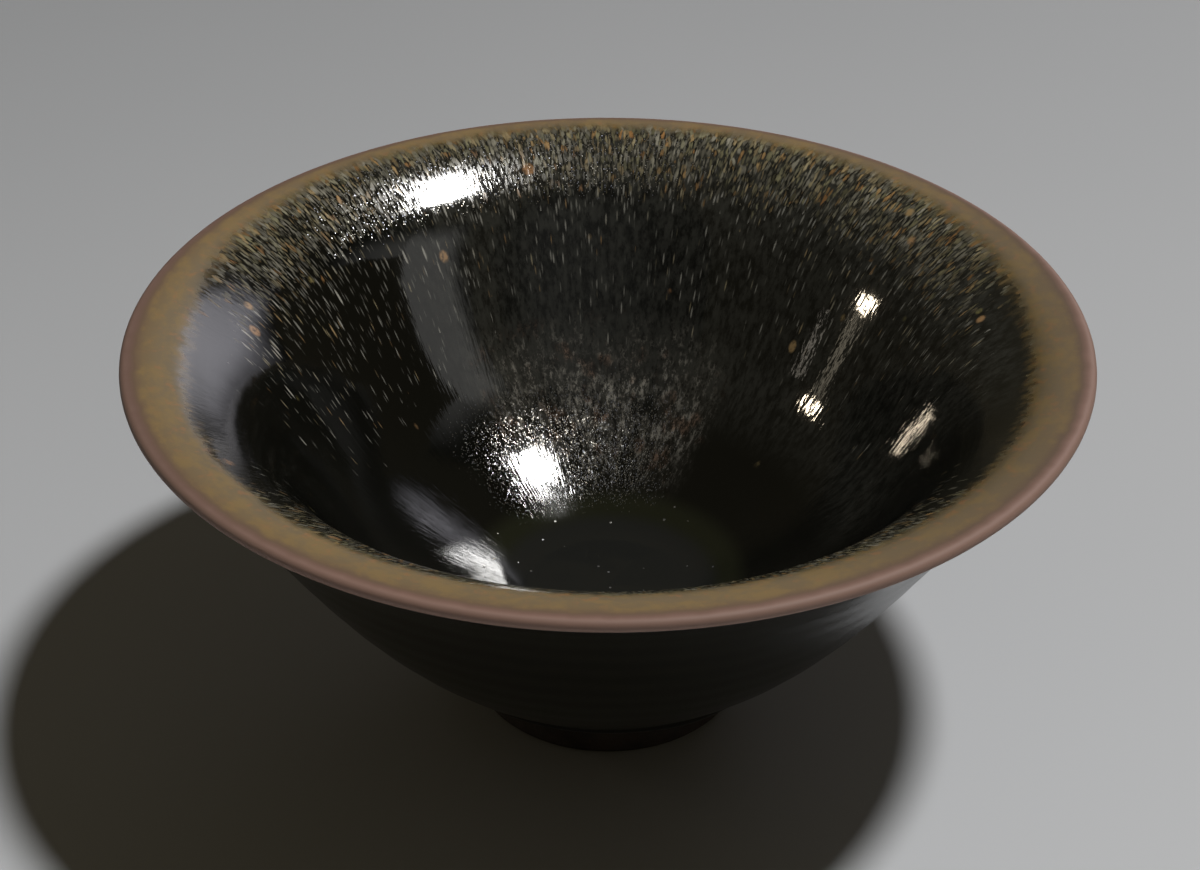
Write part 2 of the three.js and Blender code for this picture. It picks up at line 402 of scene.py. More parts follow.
# %% How far the glaze has run
roll_run = -lip_top - np.linspace(ROLL_LENGTH, 0, ROLL_ROWS, endpoint=False)
run_rows = np.concatenate([underside_places[::-1] - lip_top, roll_run, surface_places - lip_top]) / MM
run = np.concatenate([run_rows[:1], np.repeat(run_rows[1:-1], COAT_COLUMNS), run_rows[-1:]])
run_layer = glaze_coat.data.attributes.new("run", "FLOAT", "POINT")
run_layer.data.foreach_set("value", run.astype(np.float32))
print("the glaze runs from", round(run.min(), 1), "to", round(run.max(), 1), "mm")

# %% [markdown]
# ## The clay
#
# The bare clay shows only round the foot. A potter turns the foot on the wheel when the clay
# is leather-hard, and the tool leaves fine spiral grooves on the foot's side, in its recess
# and on the clay up to the glaze. The ring that the bowl stands on is flat and worn smooth.
# The grooves could be bump alone, but they show in silhouette against the light, so they are
# cut into the grid, and only the clay that hides under the glaze gets few rows.

# %% The clay body, from the middle of the foot's recess
CLAY_COLUMNS = 360
BARE_SPACING = 0.22 * MM
TURNING_PITCH = 1.1 * MM
TURNING_DEPTH = 0.05 * MM
WORN_HEIGHT = 0.6 * MM
foot_edge = np.array([FOOT_TOP[0] - FOOT_TAPER, 0])
ring_edge = foot_edge - np.array([FOOT_RING_WIDTH, 0])
recess_corner = np.array([ring_edge[0], RECESS_DEPTH])
recess_centre = np.array([0, RECESS_DEPTH + RECESS_DOME])
bare = np.vstack([
    recess_centre,
    softened(recess_centre, recess_corner, ring_edge, RECESS_FILLET),
    softened(recess_corner, ring_edge, foot_edge, FOOT_BEVEL, 2),
    softened(ring_edge, foot_edge, FOOT_TOP, FOOT_BEVEL, 2),
    softened(foot_edge, FOOT_TOP, clay_face[0], FOOT_FILLET),
    clay_face[0],
])
bare_places = np.arange(0, length_along(bare)[-1], BARE_SPACING)
bare_rows = at_length(bare, bare_places)
turning_depth = TURNING_DEPTH * smoothstep(bare_rows[:, 1] / WORN_HEIGHT)
turning_depth *= smoothstep(bare_places / (3 * TURNING_PITCH))
bare_grid = ridged(bare_rows, bare_places, CLAY_COLUMNS, TURNING_PITCH, turning_depth)
clay_body = turned("clay_body", np.concatenate([bare_grid, all_round(clay_face, CLAY_COLUMNS)]))

# %% [markdown]
# ## Tools for finishes
#
# A finish is a graph of small nodes. Wiring each by hand takes many lines, so a short helper
# adds a node, sets or links its inputs by name, and gives back its output. With it, a finish
# reads almost like arithmetic.

# %% A finish under construction
class Finish:
    """A material whose nodes are added one call at a time."""

    def __init__(self, name):
        self.material = bpy.data.materials.new(name)
        self.material.use_nodes = True
        self.tree = self.material.node_tree
        self.shader = self.tree.nodes["Principled BSDF"]
        self.place = self.add("ShaderNodeTexCoord").outputs["Object"]

    def add(self, kind, **settings):
        """Adds a node and sets its own settings."""
        node = self.tree.nodes.new(kind)
        for name, value in settings.items():
            setattr(node, name, value)
        return node

    def feed(self, socket, value):
        """Links an output into a socket, or writes a plain value on it."""
        if isinstance(value, bpy.types.NodeSocket):
            self.tree.links.new(value, socket)
        else:
            socket.default_value = value

    def attribute(self, name):
        """The number that a mesh carries at each point under a name."""
        return self.add("ShaderNodeAttribute", attribute_name=name).outputs["Fac"]

    def maths(self, operation, *values):
        """One arithmetic step on numbers."""
        node = self.add("ShaderNodeMath", operation=operation)
        for socket, value in zip(node.inputs, values):
            self.feed(socket, value)
        return node.outputs[0]

    def times(self, first, *others):
        """A product of numbers."""
        for other in others:
            first = self.maths("MULTIPLY", first, other)
        return first

    def vector(self, operation, *values, output="Vector"):
        """One arithmetic step on vectors."""
        node = self.add("ShaderNodeVectorMath", operation=operation)
        for socket, value in zip(node.inputs, values):
            self.feed(socket, value)
        return node.outputs[output]

    def step(self, value, low, high, to_low=0.0, to_high=1.0):
        """A smooth step from one value to another, while the input goes from low to high."""
        node = self.add("ShaderNodeMapRange", interpolation_type="SMOOTHSTEP")
        for socket, number in zip(node.inputs, (value, low, high, to_low, to_high)):
            self.feed(socket, number)
        return node.outputs[0]

    def blend(self, share, under, over):
        """Two colours mixed by a share."""
        node = self.add("ShaderNodeMix", data_type="RGBA")
        self.feed(node.inputs["Factor"], share)
        self.feed(node.inputs[6], under)
        self.feed(node.inputs[7], over)
        return node.outputs[2]

    def ramp(self, value, stops):
        """A colour that changes along stops of (position, red, green, blue)."""
        node = self.add("ShaderNodeValToRGB")
        elements = node.color_ramp.elements
        while len(elements) < len(stops):
            elements.new(1.0)
        for element, (position, *colour) in zip(elements, stops):
            element.position = position
            element.color = (*colour, 1.0)
        self.feed(node.inputs[0], value)
        return node.outputs["Color"]

    def noise(self, place, scale, detail=2.0, roughness=0.5):
        """Soft noise about 0.5, at so many cells to the unit of place."""
        node = self.add("ShaderNodeTexNoise")
        self.feed(node.inputs["Vector"], place)
        node.inputs["Scale"].default_value = scale
        node.inputs["Detail"].default_value = detail
        node.inputs["Roughness"].default_value = roughness
        return node.outputs["Fac"]

    def cells(self, place, feature="F1"):
        """Random cells, a unit wide: the distance in each, and the cell's random colour."""
        node = self.add("ShaderNodeTexVoronoi", feature=feature)
        self.feed(node.inputs["Vector"], place)
        node.inputs["Scale"].default_value = 1.0
        return node.outputs["Distance"], node.outputs.get("Color")

    def parts(self, value):
        """The three parts of a vector or colour."""
        node = self.add("ShaderNodeSeparateXYZ")
        self.feed(node.inputs[0], value)
        return node.outputs

    def relief(self, height, depth, below=None):
        """A bump from a height between 0 and 1, whose full height is depth in metres."""
        node = self.add("ShaderNodeBump")
        node.inputs["Strength"].default_value = 1.0
        node.inputs["Distance"].default_value = depth
        self.feed(node.inputs["Height"], height)
        if below:
            self.feed(node.inputs["Normal"], below)
        return node.outputs["Normal"]

    def finish(self, **sockets):
        """Feeds the shader's sockets. Underscores in a name stand for spaces."""
        for name, value in sockets.items():
            self.feed(self.shader.inputs[name.replace("_", " ")], value)
        return self.material


# %% [markdown]
# ## The glaze's finish
#
# Under the gloss four things lie one over another. The ground is black, olive-brown where the
# glaze is thin. Near the lip it breaks into beads, upright cells with dark gaps, some silver,
# some olive, some rust. Lower down the beads become sparse streaks that run down the wall, and
# still lower fine silver crystals. Last comes the lip, where almost no glaze is left: ochre on
# the flange, a dark line, and mauve clay on the edge. All of them follow the run of the glaze,
# so their cells are drawn on a cylinder: direction from the axis, and distance run.

# %% A finish that is rolled out
BEAD_CIRCLE = 50


class GlazeFinish(Finish):
    """A finish that knows how far the glaze has run, and which way the wall faces."""

    def __init__(self, name):
        super().__init__(name)
        self.run = self.attribute("run")
        flat = self.vector("MULTIPLY", self.place, (1, 1, 0))
        self.facing = self.vector("NORMALIZE", flat)
        down = self.add("ShaderNodeCombineXYZ")
        self.feed(down.inputs["Z"], self.run)
        round_bowl = self.vector("MULTIPLY", self.facing, (BEAD_CIRCLE,) * 3)
        self.rolled_out = self.vector("ADD", round_bowl, down.outputs[0])

    def stretched(self, width, length, shift=0):
        """Rolled-out places measured in cells of a width and length in millimetres. Each shift
        picks another part of the pattern, so that no two layers match."""
        moved = self.vector("ADD", self.rolled_out, (shift, shift * 1.7, shift * 2.3))
        return self.vector("MULTIPLY", moved, (1 / width, 1 / width, 1 / length))

    def mottle(self, width, length, shift=0, detail=2.0, roughness=0.5):
        """Noise about 0.5 in patches of a width and length in millimetres."""
        return self.noise(self.stretched(width, length, shift), 1.0, detail, roughness)

    def sector(self, angle, start, full):
        """One within a sector of the bowl round an angle from +X, and zero outside it. The
        limits are cosines of the turn away from the angle."""
        middle = (math.cos(math.radians(angle)), math.sin(math.radians(angle)), 0)
        facing_it = self.vector("DOT_PRODUCT", self.facing, middle, output="Value")
        return self.step(facing_it, start, full)

    def belt(self, value, start, full, fading, gone):
        """A smooth step up from start to full, times a smooth step down from fading to gone."""
        return self.times(self.step(value, start, full), self.step(value, gone, fading))

    def drops(self, width, length, shift, size, coverage, soft, vary):
        """Oval drops. A cell holds one where its first random number is under the coverage.
        Their size is a share of the cell, and varies by a share of itself. Gives the drops'
        shape, two more random numbers of each, and its random colour."""
        distance, colour = self.cells(self.stretched(width, length, shift))
        chance, tone, shade = self.parts(colour)
        size = self.maths("MULTIPLY_ADD", shade, size * vary, size * (1 - vary))
        outer = self.maths("ADD", size, soft)
        inner = self.maths("SUBTRACT", size, soft)
        held = self.maths("LESS_THAN", chance, coverage)
        return self.times(self.step(distance, outer, inner), held), tone, shade, colour


print("the glaze is rolled out on a cylinder of radius", BEAD_CIRCLE, "mm")

# %% [markdown]
# The colours are dark, because most of what the eye sees in the bowl is mirrored. A hue that
# looks right on its own is too light under gloss, so each was set with the lamps on. The stops
# of a ramp are tones that a random number or a distance picks from.

# %% Colours of the glaze: red, green, blue
BLACK = (0.0040, 0.0040, 0.0031, 1)
OUTER_BLACK = (0.0042, 0.0042, 0.0030, 1)
THIN_BLACK = (0.016, 0.015, 0.011, 1)
POOL_BLACK = (0.0125, 0.0130, 0.0120, 1)
WELL_GREEN = (0.0120, 0.0130, 0.0070, 1)
VEIL_GREY = (0.033, 0.033, 0.028, 1)
CLOUD_GREY = (0.260, 0.245, 0.210, 1)
CLOUD_BROWN = (0.215, 0.145, 0.105, 1)
STRAW = (0.250, 0.160, 0.048, 1)
RUST = (0.290, 0.140, 0.050, 1)
DARKNESS = (0.0, 0.0, 0.0, 1)
DARKENING = 0.26
print("inside, the black glaze sends back", round(100 * BLACK[0], 1), "% of red light")

# %% Tones to pick from: position, red, green, blue
BEAD_TONES = [
    (0.00, 0.170, 0.158, 0.118),
    (0.30, 0.330, 0.310, 0.245),
    (0.55, 0.230, 0.215, 0.120),
    (0.78, 0.350, 0.290, 0.170),
    (0.92, 0.370, 0.250, 0.110),
    (1.00, 0.460, 0.230, 0.080),
]
STREAK_TONES = [
    (0.00, 0.15, 0.15, 0.13),
    (0.70, 0.34, 0.33, 0.29),
    (0.90, 0.32, 0.27, 0.16),
    (1.00, 0.42, 0.25, 0.11),
]
SPOT_TONES = [(0.0, 0.24, 0.22, 0.08), (0.4, 0.32, 0.21, 0.10), (1.0, 0.36, 0.19, 0.09)]
CRYSTAL_TONES = [(0.0, 0.34, 0.36, 0.45), (0.5, 0.42, 0.42, 0.40), (1.0, 0.44, 0.39, 0.31)]
LIP_TONES = [
    (-4.0, 0.006, 0.005, 0.004),
    (-2.6, 0.030, 0.018, 0.012),
    (-1.7, 0.120, 0.068, 0.048),
    (-1.0, 0.230, 0.140, 0.105),
    (0.8, 0.255, 0.150, 0.115),
    (1.5, 0.185, 0.100, 0.070),
    (2.1, 0.140, 0.082, 0.045),
    (3.2, 0.178, 0.118, 0.052),
    (5.0, 0.182, 0.128, 0.062),
    (7.0, 0.160, 0.118, 0.060),
    (12.0, 0.130, 0.105, 0.058),
]
print(len(LIP_TONES), "tones across the lip, from", LIP_TONES[0][0], "to", LIP_TONES[-1][0], "mm")

# %% [markdown]
# No finish here is even all round. Each effect has its own sector of the bowl, as the photo
# shows it: an angle, and how far to both sides it reaches. The lit side is painted light: away
# from it the large flakes thin out, a painted shade that dims their sparkle.

# %% Sectors: angle from +X, cosine of the turn where it starts, cosine where it is full
DARK_BAND = (-8, 0.3, 1.0)
DARK_LIP = (178, 0.3, 1.0)
STREAKED = (148, 0.80, 0.96)
VEILED = (58, 0.22, 0.55)
CLOUDED = (92, 0.82, 0.95)
GLINTING_BEADS = (108, 0.80, 0.95)
GLINTING_CLOUDS = (103, 0.76, 0.98)
# Painted shade: away from the lit side the large flakes thin out.
LIT_SIDE = (60, 0.15, 0.80)
DULL_LOW_WALL = (200, 0.4, 0.8)
LUMPY = (24, 0.84, 0.93)
veil_reach = math.degrees(math.acos(VEILED[1]))
print("the veil reaches", round(veil_reach), "degrees to both sides of", VEILED[0])

# %% [markdown]
# The brown band isn't equally wide all round. At the back, where the wall falls steeply behind
# the lip, the glaze ran off sooner and the beads come closer to the edge. So the finish first
# works out three numbers: how far a point is past the band's edge, how far across the band, and
# how well beaded its side of the bowl is. Three noises from slow to fine fray the edge.

# %% The band and what lies past it
def band_places(f):
    """Distance past the inner edge of the brown band, and distance across it, in
    millimetres, with noise that moves the edge in and out. The third number says how well a
    side is beaded: best at the back, well at the front, and hardly at the sides."""
    towards_back = f.parts(f.facing)[1]
    wander = f.maths("SUBTRACT", f.noise(f.facing, 2.6), 0.5)
    ripple = f.maths("SUBTRACT", f.mottle(2.2, 9.0), 0.5)
    fray = f.maths("SUBTRACT", f.mottle(0.8, 2.4, 63), 0.5)
    edge = f.step(towards_back, -0.1, 0.95, 7.6, 2.5)
    edge = f.maths("MULTIPLY_ADD", wander, 1.6, edge)
    edge = f.maths("MULTIPLY_ADD", ripple, 1.2, edge)
    edge = f.maths("MULTIPLY_ADD", fray, 1.8, edge)
    past = f.maths("SUBTRACT", f.run, edge)
    across = f.maths("MULTIPLY", f.run, f.step(towards_back, 0.0, 1.0, 1.0, 1.8))
    across = f.maths("MULTIPLY_ADD", ripple, 0.8, across)
    towards_front = f.maths("MULTIPLY_ADD", towards_back, -1.6, -0.72)
    beaded = f.maths("MAXIMUM", towards_back, towards_front)
    return past, across, beaded


# %% The band's colours
def lip_colour(f, across):
    """The tones across the band, with patches of straw and rust. The band is darker on the
    right, and the lip on the left."""
    low, high = LIP_TONES[0][0], LIP_TONES[-1][0]
    share = f.maths("DIVIDE", f.maths("SUBTRACT", across, low), high - low)
    colour = f.ramp(share, [((at - low) / (high - low), *tone) for at, *tone in LIP_TONES])
    straw = f.step(f.mottle(3.4, 2.6, 5, 4.0, 0.65), 0.40, 0.64)
    straw = f.times(straw, f.step(across, 1.8, 3.0, 0.0, 0.6))
    rust = f.step(f.mottle(1.3, 1.7, 61, 3.0, 0.6), 0.54, 0.68)
    rust = f.times(rust, f.step(across, 2.0, 6.0, 0.0, 0.6))
    colour = f.blend(rust, f.blend(straw, colour, STRAW), RUST)
    dark_band = f.times(f.sector(*DARK_BAND), f.step(across, 1.0, 2.6))
    dark_lip = f.times(f.sector(*DARK_LIP), f.step(across, 2.6, 1.0))
    dark = f.times(f.maths("MAXIMUM", dark_band, dark_lip), DARKENING)
    return f.blend(dark, colour, DARKNESS)


# %% [markdown]
# The beads are where the glaze boiled and healed over: upright ovals about half a millimetre
# wide, packed like scales, with dark glaze in the gaps. Cells with a gap cut along their edges
# do that. The gap opens at the band's edge, and the cells grow dimmer and then go missing as
# the glaze runs on. The same cells, domed, are the relief that breaks a lamp into sparks.

# %% Beads
BEAD_WIDTH = 0.52
BEAD_LENGTH = 1.55
GAP_SOFTNESS = 0.13


def beads_of(f, past, beaded, ground, band):
    """The beads' shape, their domes, and the colour of band, beads and gaps together. A bead
    is where the distance to its cell's edge, made uneven by grain, is more than the gap."""
    place = f.stretched(BEAD_WIDTH, BEAD_LENGTH, 3)
    edge_distance, _ = f.cells(place, "DISTANCE_TO_EDGE")
    _, cell = f.cells(place)
    chance, tone, shade = f.parts(cell)
    gap = f.step(past, -0.6, 3.2, -0.16, 0.15)
    gap = f.maths("ADD", gap, f.step(past, 6.0, 16.0, 0.0, 0.12))
    grain = f.maths("SUBTRACT", f.mottle(0.30, 1.6, 9), 0.43)
    uneven = f.maths("MULTIPLY_ADD", edge_distance, 0.55, grain)
    gap_end = f.maths("ADD", gap, GAP_SOFTNESS)
    shape = f.step(uneven, f.maths("SUBTRACT", gap, GAP_SOFTNESS), gap_end)
    kept = f.times(f.step(past, 15.5, 8.0), f.step(beaded, 0.12, 0.48))
    kept = f.maths("MAXIMUM", kept, f.step(past, 1.6, 0.0))
    shape = f.times(shape, f.maths("LESS_THAN", chance, kept))
    clumps = f.step(f.mottle(1.7, 2.8, 57), 0.36, 0.64, 0.60, 1.0)
    light = f.times(
        clumps,
        f.step(shade, 0.0, 1.0, 0.42, 1.0),
        f.step(past, 3.0, 14.0, 1.15, 0.42),
        f.step(beaded, 0.12, 0.62, 0.35, 1.0),
        f.step(uneven, -0.1, 0.42, 0.55, 1.0),
    )
    colour = f.blend(light, THIN_BLACK, f.ramp(tone, BEAD_TONES))
    colour = f.blend(f.step(past, -0.8, 2.2), band, colour)
    domes = f.times(f.step(uneven, 0.0, 0.40), f.belt(past, -0.5, 2.0, 9.0, 15.0))
    return shape, domes, f.blend(shape, ground, colour)


# %% [markdown]
# Past the beads the ground isn't simply black. A thin grey veil lies in it at the back and on
# the right, so the left looks deepest. Low on the back wall are clouds of dull crystals, grey
# and brown, in soft blotches with fine specks. In the well the glaze is thick enough to show
# its green, and the pool is greyer. Under the beads the brown band fades out into all this.

# %% The ground
def ground_of(f, past, band):
    """The colour under beads and streaks, and the fine specks that the clouds are made of."""
    ground = f.blend(f.step(past, 9.0, 0.0), BLACK, THIN_BLACK)
    well = f.blend(f.step(f.run, 62.0, 65.0), WELL_GREEN, POOL_BLACK)
    ground = f.blend(f.step(f.run, 58.0, 61.5), ground, well)

    cloud = f.times(f.belt(f.run, 31.0, 40.0, 44.0, 62.0), f.sector(*CLOUDED))
    cloud = f.times(cloud, f.step(f.mottle(7.0, 8.0, 31, 3.0), 0.26, 0.50))
    cloud = f.times(cloud, f.step(f.mottle(2.0, 2.4, 43, 3.0), 0.38, 0.62, 0.25, 1.0))
    specks = f.step(f.mottle(0.9, 1.2, 37, 4.0, 0.8), 0.44, 0.62)
    cloud = f.times(cloud, f.step(specks, 0.0, 1.0, 0.12, 0.95))
    brown = f.step(f.mottle(5.0, 4.0, 41), 0.52, 0.66)
    ground = f.blend(cloud, ground, f.blend(brown, CLOUD_GREY, CLOUD_BROWN))

    veil = f.times(f.step(past, 0.0, 5.0), f.step(f.run, 50.0, 38.0), f.sector(*VEILED))
    veil = f.times(veil, f.step(f.mottle(1.1, 2.2, 53, 4.0, 0.7), 0.34, 0.68, 0.15, 1.0))
    ground = f.blend(veil, ground, VEIL_GREY)

    fading = f.maths("MULTIPLY_ADD", f.mottle(1.2, 2.0, 71, 3.0, 0.6), 5.0, past)
    return f.blend(f.step(fading, 5.2, 1.2), ground, band), specks


# %% [markdown]
# Each crystal is a tiny tilted mirror, so it flashes only where it happens to face a lamp, and
# the wall sparkles round the reflections of lamps. A flake is a small drop whose random colour
# also says which way it is tilted. Painted dots would shine from every side, and real flakes
# would be a hundred thousand pieces, so the tilt goes into the normal.

# %% Flakes
FLAKE_COVER = 0.85
DOT_CELLS_PER_METRE = 650


def flakes_of(f, past, specks):
    """Flakes among the beads, in the clouds, and a few in the well: how much of a place they
    cover, and a random colour for each."""
    cover = f.times(f.belt(past, 0.5, 3.0, 9.0, 15.0), f.sector(*GLINTING_BEADS), 0.70)
    small, _, _, small_flake = f.drops(
        0.22, 0.34, shift=23, size=0.34, coverage=cover, soft=0.12, vary=0.5)

    cover = f.times(f.belt(f.run, 40.0, 48.0, 57.0, 63.0), f.sector(*GLINTING_CLOUDS))
    cover = f.times(cover, f.step(specks, 0.0, 1.0, 0.35, 1.0))
    large, _, _, large_flake = f.drops(
        0.22, 0.28, shift=29, size=0.44, coverage=cover, soft=0.18, vary=0.5)
    # Painted shade on the sparkle: away from the lit side the large flakes fade to three tenths.
    lit = f.maths("MULTIPLY_ADD", f.sector(*LIT_SIDE), 0.70, 0.30)
    large = f.times(large, f.step(f.run, 41.0, 50.0, 0.35, 1.0), lit)

    dot_place = f.vector("MULTIPLY", f.place, (DOT_CELLS_PER_METRE,) * 3)
    middle_distance, cell = f.cells(dot_place)
    rare = f.maths("LESS_THAN", f.parts(cell)[0], f.step(f.run, 57.0, 62.0, 0.0, 0.34))
    dots = f.times(f.step(middle_distance, 0.14, 0.06), rare)

    flakes = f.maths("MAXIMUM", f.maths("MAXIMUM", small, large), dots)
    return flakes, f.blend(f.step(f.run, 26.0, 27.0), small_flake, large_flake)


# %% [markdown]
# Below the beads the wall is nearly clean: thin streaks that grow rare downwards, with longer
# and brighter ones on the left, and a few round spots the colour of rust or straw, where a
# grain of iron melted. All are drops of different shapes, and a spot's edge is worn by noise.

# %% Streaks
def streaks_over(f, past, beaded, colour):
    """A colour with thin streaks over all of it, and bright ones in one sector."""
    left = f.sector(*STREAKED)
    sparse = f.maths("ADD", f.step(past, 9.0, 18.0, 1.0, 0.36), f.step(past, 18.0, 34.0, 0.0, -0.24))
    cover = f.times(f.maths("MULTIPLY_ADD", left, 0.22, sparse), f.belt(past, 5.0, 9.0, 26.0, 40.0))
    cover = f.times(cover, f.step(beaded, -0.15, 0.45))
    thin, tone, shade, _ = f.drops(
        0.40, 2.4, shift=7, size=0.32, coverage=cover, soft=0.16, vary=0.3)
    thin = f.times(thin, f.step(shade, 0.1, 1.0, 0.20, 0.66))
    colour = f.blend(thin, colour, f.ramp(tone, STREAK_TONES))

    cover = f.times(left, f.belt(past, 6.0, 9.0, 18.0, 25.0), 0.80)
    bright, tone, shade, _ = f.drops(
        0.70, 4.6, shift=13, size=0.26, coverage=cover, soft=0.08, vary=0.5)
    bright = f.times(bright, f.step(shade, 0.0, 1.0, 0.30, 1.0))
    return f.blend(bright, colour, f.ramp(tone, STREAK_TONES))


# %% Spots
def spots_of(f, past, beaded):
    """The spots' shape and their colour."""
    cover = f.step(past, 3.0, 34.0, 0.42, 0.08)
    spots, tone, _, _ = f.drops(
        4.6, 5.6, shift=17, size=0.18, coverage=cover, soft=0.05, vary=0.5)
    worn = f.step(f.mottle(0.5, 0.6, 67), 0.34, 0.56, 0.35, 1.0)
    places = f.times(f.step(past, 1.0, 3.0), f.step(f.run, 50.0, 46.0), f.step(beaded, -0.1, 0.2))
    return f.times(spots, worn, places), f.ramp(tone, SPOT_TONES)


# %% [markdown]
# Gloss is what makes the bowl look wet. The black glaze is nearly a mirror, the beads are a
# little duller, and the brown band, where the glaze is starved, is almost matt. The relief is
# built up from fine to slow: tilted flakes, grooves where the glaze ran, lumps on one side,
# the domes of the beads, and a slow wave that keeps any reflection from being perfect.

# %% Gloss
GLAZE_ROUGHNESS = 0.06
LOW_WALL_ROUGHNESS = 0.04
FLAKE_ROUGHNESS = 0.32
BAND_ROUGHNESS = 0.58
BEAD_ROUGHNESS = 0.24


def roughness_of(f, past, beads, metal):
    """The glaze's roughness, more low on one side, plus that of flakes. The band and the
    beads have more of their own."""
    low_wall = f.times(f.step(f.run, 36.0, 44.0), f.sector(*DULL_LOW_WALL))
    rough = f.maths("MULTIPLY_ADD", low_wall, LOW_WALL_ROUGHNESS, GLAZE_ROUGHNESS)
    rough = f.maths("MULTIPLY_ADD", metal, FLAKE_ROUGHNESS, rough)
    on_band = f.times(f.step(past, 2.0, -1.5), f.step(f.run, -4.5, -2.5))
    matt = f.maths("MULTIPLY_ADD", on_band, BAND_ROUGHNESS, GLAZE_ROUGHNESS)
    rough = f.maths("MAXIMUM", rough, matt)
    return f.maths("MAXIMUM", rough, f.times(beads, BEAD_ROUGHNESS))


# %% Relief
FLAKE_TILT = 0.45
GROOVE_DEPTH = 0.022 * MM
LUMP_DEPTH = 0.020 * MM
DOME_DEPTH = 0.005 * MM
WAVE_DEPTH = 0.030 * MM


def relief_of(f, domes, metal, flake):
    """The normal tilted by each flake's random colour less a half, under four reliefs. The
    grooves end before the middle of the well, where they would all meet in a star."""
    upright = f.add("ShaderNodeNewGeometry").outputs["Normal"]
    tilt = f.vector("SUBTRACT", flake, (0.5, 0.5, 0.5))
    tilt = f.vector("MULTIPLY", tilt, (FLAKE_TILT,) * 3)
    scaled = f.add("ShaderNodeVectorMath", operation="SCALE")
    f.feed(scaled.inputs[0], tilt)
    f.feed(scaled.inputs["Scale"], metal)
    normal = f.vector("NORMALIZE", f.vector("ADD", upright, scaled.outputs[0]))
    grooved = f.times(f.step(f.run, 30.0, 44.0, 0.4, 1.0), f.step(f.run, 66.0, 60.0))
    normal = f.relief(f.times(grooved, f.mottle(0.6, 3.6)), GROOVE_DEPTH, normal)
    lumps = f.times(f.sector(*LUMPY), f.mottle(0.8, 1.3, 79, 1.0))
    normal = f.relief(lumps, LUMP_DEPTH, normal)
    normal = f.relief(domes, DOME_DEPTH, normal)
    return f.relief(f.noise(f.place, 260, 0.0), WAVE_DEPTH, normal)


# %% [markdown]
# Now the layers go over one another, in the order in which they lie: ground, flakes, streaks,
# beads, spots. Outside the bowl there is only the band, which ends in an uneven line, and then
# plain black. A flake that isn't hidden under a bead or a spot shines like metal.

# %% The glaze
GLAZE_IOR = 1.52


def tenmoku_glaze():
    """Black glaze with beads, streaks and crystals, and the brown lip that they break from."""
    f = GlazeFinish("tenmoku_glaze")
    past, across, beaded = band_places(f)
    inside = f.step(f.run, 0.5, 1.5)
    band = lip_colour(f, across)
    ground, specks = ground_of(f, past, band)
    flakes, flake = flakes_of(f, past, specks)
    spots, spot_colour = spots_of(f, past, beaded)

    crystal = f.ramp(f.parts(flake)[1], CRYSTAL_TONES)
    colour = f.blend(f.times(flakes, FLAKE_COVER), ground, crystal)
    colour = streaks_over(f, past, beaded, colour)
    beads, domes, colour = beads_of(f, past, beaded, colour, band)
    colour = f.blend(spots, colour, spot_colour)
    outer_edge = f.maths("MULTIPLY_ADD", f.mottle(5.0, 9.0), 0.8, across)
    outside = f.blend(f.step(outer_edge, -3.0, -1.4), OUTER_BLACK, band)
    colour = f.blend(inside, outside, colour)

    bare = f.maths("SUBTRACT", 1.0, f.maths("MAXIMUM", f.times(beads, 0.5), spots))
    metal = f.times(flakes, bare, inside)
    print("the glaze takes", len(f.tree.nodes), "nodes")
    return f.finish(
        Base_Color=colour,
        Roughness=roughness_of(f, past, beads, metal),
        Metallic=metal,
        Normal=relief_of(f, domes, metal, flake),
        IOR=GLAZE_IOR,
    )


glaze_coat.data.materials.append(tenmoku_glaze())

# %% [markdown]
# ## The clay's finish
#
# The clay is rich in iron and fires to a dark brown, dry and a little gritty. A single
# colour would look like plastic, so slow noise changes it from place to place, fine grit gives
# it a tooth, and pale grog shows here and there.

# %% Bare stoneware
CLAY_DARK = (0.026, 0.020, 0.016, 1)
CLAY_LIGHT = (0.054, 0.038, 0.029, 1)
GROG = (0.15, 0.10, 0.07, 1)
GRIT_DEPTH = 0.05 * MM
CLAY_IOR = 1.45


def bare_stoneware():
    """Dry dark brown clay with grit."""
    f = Finish("bare_stoneware")
    slow = f.noise(f.place, 180, 3.0, 0.6)
    grit = f.noise(f.place, 3600, 3.0, 0.7)
    colour = f.blend(f.step(slow, 0.3, 0.7), CLAY_DARK, CLAY_LIGHT)
    colour = f.blend(f.step(grit, 0.62, 0.74), colour, GROG)
    roughness = f.step(grit, 0.3, 0.7, 0.72, 0.92)
    normal = f.relief(grit, GRIT_DEPTH)
    return f.finish(Base_Color=colour, Roughness=roughness, Normal=normal, IOR=CLAY_IOR)


clay_body.data.materials.append(bare_stoneware())

# %% Both pieces take their places
for piece, material_slot, nodes in (
    (glaze_coat, "black_glaze",
     ("outer_glaze", "lip_glaze", "inner_glaze", "well_pool", "glaze_roll")),
    (clay_body, "bare_stoneware", ("stoneware_body",)),
):
    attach(piece, "root")
    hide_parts(*nodes)
    print(piece.name, "stands for", ", ".join(nodes))
